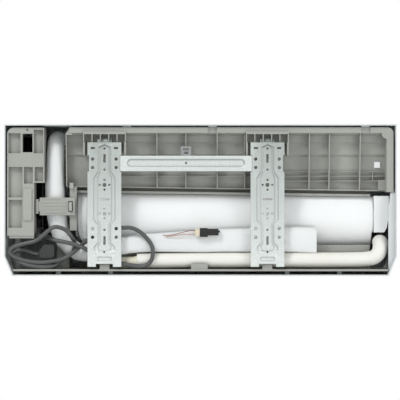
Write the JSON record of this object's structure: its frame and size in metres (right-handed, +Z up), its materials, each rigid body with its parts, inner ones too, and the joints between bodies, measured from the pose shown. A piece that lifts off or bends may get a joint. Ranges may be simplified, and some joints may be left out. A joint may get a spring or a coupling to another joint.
{
  "type": "mini split indoor unit",
  "caption": "Wall-hung indoor air conditioner unit on a steel wall bracket, with hinged front panel, louvre, fan, coil, wrapped pipes, drain hose and mains cable.",
  "frame": {"origin": "on the wall plane, on the lower flange of the bracket's crossbar, at the middle of the unit's width", "axes": "+X to the right for someone facing the wall side, +Y from the wall into the room, +Z up"},
  "size_m": [0.8, 0.2013, 0.309],
  "materials": {
    "steel_sheet": "galvanised sheet, slightly mottled",
    "bright_steel": "bright rolled steel",
    "grey_plastic": "moulded grey plastic, fine grain",
    "white_plastic": "smooth off-white moulding",
    "black_plastic": "black moulding",
    "beige_plastic": "beige connector housing",
    "white_foam": "closed-cell white foam",
    "hose_ivory": "soft ivory hose",
    "cable_grey": "dark grey cable jacket",
    "copper": "drawn copper",
    "brass": "turned brass",
    "wire_red": "thin insulated wire",
    "aluminium_fins": "thin fin stock",
    "board_green": "circuit board"
  },
  "bodies": {
    "wall_bracket": {"wall_plate_left": "steel_sheet", "wall_plate_right": "steel_sheet", "wall_crossbar": "steel_sheet", "hanger_clip": "bright_steel"},
    "indoor_unit": {"rear_chassis": "grey_plastic", "hole_cap": "white_plastic", "pipe_side_block": "grey_plastic", "clamp_pin": "bright_steel", "scroll_foam": "white_foam", "scroll_foam_end": "white_foam", "riser_foam": "white_foam", "tail_foam": "white_foam", "gas_pipe": "copper", "liquid_pipe": "copper", "gas_flare_nut": "brass", "liquid_flare_nut": "brass", "drain_hose": "hose_ivory", "drain_spout": "grey_plastic", "power_cord": "cable_grey", "cord_gland": "black_plastic", "power_plug": "cable_grey", "sensor_wire_1": "wire_red", "sensor_wire_2": "wire_red", "wire_collar": "beige_plastic", "wire_connector": "black_plastic", "fan_bearing": "black_plastic", "fan_motor": "bright_steel", "motor_cradle": "grey_plastic", "coil_front_lower": "aluminium_fins", "coil_front_upper": "aluminium_fins", "coil_rear": "aluminium_fins", "drain_pan": "grey_plastic", "outlet_duct": "grey_plastic", "louvre_motor": "white_plastic", "vane_floor": "grey_plastic", "control_box": "black_plastic", "control_board": "board_green", "terminal_block": "black_plastic", "display_board": "black_plastic", "outer_casing": "white_plastic"},
    "clamp": {"pipe_clamp": "grey_plastic"},
    "fan": {"fan_wheel": "black_plastic", "fan_shaft": "bright_steel"},
    "louvre_vane": {"louvre": "white_plastic"},
    "panel": {"front_panel": "white_plastic"},
    "filter_left": {"air_filter_left": "black_plastic"},
    "filter_right": {"air_filter_right": "black_plastic"},
    "button": {"manual_button": "white_plastic"},
    "vane_1": {"air_vane_1": "grey_plastic"},
    "vane_2": {"air_vane_2": "grey_plastic"},
    "vane_3": {"air_vane_3": "grey_plastic"},
    "vane_4": {"air_vane_4": "grey_plastic"},
    "vane_5": {"air_vane_5": "grey_plastic"},
    "vane_6": {"air_vane_6": "grey_plastic"},
    "vane_7": {"air_vane_7": "grey_plastic"},
    "vane_8": {"air_vane_8": "grey_plastic"},
    "vane_9": {"air_vane_9": "grey_plastic"},
    "vane_10": {"air_vane_10": "grey_plastic"},
    "link_left": {"vane_link_left": "grey_plastic"},
    "link_right": {"vane_link_right": "grey_plastic"}
  },
  "joints": [
    {"name": "unit_lift", "type": "slide", "parent": "wall_bracket", "child": "indoor_unit", "axis": [0, 0, 1], "range_m": [0, 0.016]},
    {"name": "clamp_hinge", "type": "hinge", "parent": "indoor_unit", "child": "clamp", "pos_m": [-0.335, 0.02, -0.0765], "axis": [0, 0, -1], "range_deg": [0, 100]},
    {"name": "fan_spin", "type": "hinge", "parent": "indoor_unit", "child": "fan", "pos_m": [0, 0.106, -0.09], "axis": [1, 0, 0], "continuous": true},
    {"name": "louvre_hinge", "type": "hinge", "parent": "indoor_unit", "child": "louvre_vane", "pos_m": [0, 0.13584, -0.19205], "axis": [-1, 0, 0], "range_deg": [0, 80]},
    {"name": "panel_hinge", "type": "hinge", "parent": "indoor_unit", "child": "panel", "pos_m": [0, 0.191, 0.069], "axis": [1, 0, 0], "range_deg": [0, 60]},
    {"name": "filter_left_lift", "type": "slide", "parent": "indoor_unit", "child": "filter_left", "axis": [0, 0, 1], "range_m": [0, 0.01]},
    {"name": "filter_right_lift", "type": "slide", "parent": "indoor_unit", "child": "filter_right", "axis": [0, 0, 1], "range_m": [0, 0.01]},
    {"name": "button_press", "type": "slide", "parent": "indoor_unit", "child": "button", "axis": [0, -1, 0], "range_m": [0, 0.002], "stiffness_N_per_m": 300, "springref_m": -0.002},
    {"name": "vane_1_swing", "type": "hinge", "parent": "indoor_unit", "child": "vane_1", "pos_m": [-0.21324, 0.10165, -0.17623], "axis": [0, 0.7914, 0.6113], "range_deg": [-30, 30]},
    {"name": "vane_2_swing", "type": "hinge", "parent": "indoor_unit", "child": "vane_2", "pos_m": [-0.15787, 0.10165, -0.17623], "axis": [0, 0.7914, 0.6113], "range_deg": [-30, 30]},
    {"name": "vane_3_swing", "type": "hinge", "parent": "indoor_unit", "child": "vane_3", "pos_m": [-0.1025, 0.10165, -0.17623], "axis": [0, 0.7914, 0.6113], "range_deg": [-30, 30]},
    {"name": "vane_4_swing", "type": "hinge", "parent": "indoor_unit", "child": "vane_4", "pos_m": [-0.04713, 0.10165, -0.17623], "axis": [0, 0.7914, 0.6113], "range_deg": [-30, 30]},
    {"name": "vane_5_swing", "type": "hinge", "parent": "indoor_unit", "child": "vane_5", "pos_m": [0.00824, 0.10165, -0.17623], "axis": [0, 0.7914, 0.6113], "range_deg": [-30, 30]},
    {"name": "vane_6_swing", "type": "hinge", "parent": "indoor_unit", "child": "vane_6", "pos_m": [0.08576, 0.10165, -0.17623], "axis": [0, 0.7914, 0.6113], "range_deg": [-30, 30]},
    {"name": "vane_7_swing", "type": "hinge", "parent": "indoor_unit", "child": "vane_7", "pos_m": [0.14113, 0.10165, -0.17623], "axis": [0, 0.7914, 0.6113], "range_deg": [-30, 30]},
    {"name": "vane_8_swing", "type": "hinge", "parent": "indoor_unit", "child": "vane_8", "pos_m": [0.1965, 0.10165, -0.17623], "axis": [0, 0.7914, 0.6113], "range_deg": [-30, 30]},
    {"name": "vane_9_swing", "type": "hinge", "parent": "indoor_unit", "child": "vane_9", "pos_m": [0.25187, 0.10165, -0.17623], "axis": [0, 0.7914, 0.6113], "range_deg": [-30, 30]},
    {"name": "vane_10_swing", "type": "hinge", "parent": "indoor_unit", "child": "vane_10", "pos_m": [0.30724, 0.10165, -0.17623], "axis": [0, 0.7914, 0.6113], "range_deg": [-30, 30]},
    {"name": "link_left_slide", "type": "slide", "parent": "indoor_unit", "child": "link_left", "axis": [1, 0, 0], "range_m": [-0.00565, 0.00565]},
    {"name": "link_right_slide", "type": "slide", "parent": "indoor_unit", "child": "link_right", "axis": [1, 0, 0], "range_m": [-0.00565, 0.00565]}
  ],
  "couplings": [
    {"joint": "vane_1_swing", "follows": "link_left_slide", "rad_per_m": 92.6},
    {"joint": "vane_2_swing", "follows": "link_left_slide", "rad_per_m": 92.6},
    {"joint": "vane_3_swing", "follows": "link_left_slide", "rad_per_m": 92.6},
    {"joint": "vane_4_swing", "follows": "link_left_slide", "rad_per_m": 92.6},
    {"joint": "vane_5_swing", "follows": "link_left_slide", "rad_per_m": 92.6},
    {"joint": "vane_6_swing", "follows": "link_right_slide", "rad_per_m": 92.6},
    {"joint": "vane_7_swing", "follows": "link_right_slide", "rad_per_m": 92.6},
    {"joint": "vane_8_swing", "follows": "link_right_slide", "rad_per_m": 92.6},
    {"joint": "vane_9_swing", "follows": "link_right_slide", "rad_per_m": 92.6},
    {"joint": "vane_10_swing", "follows": "link_right_slide", "rad_per_m": 92.6}
  ]
}
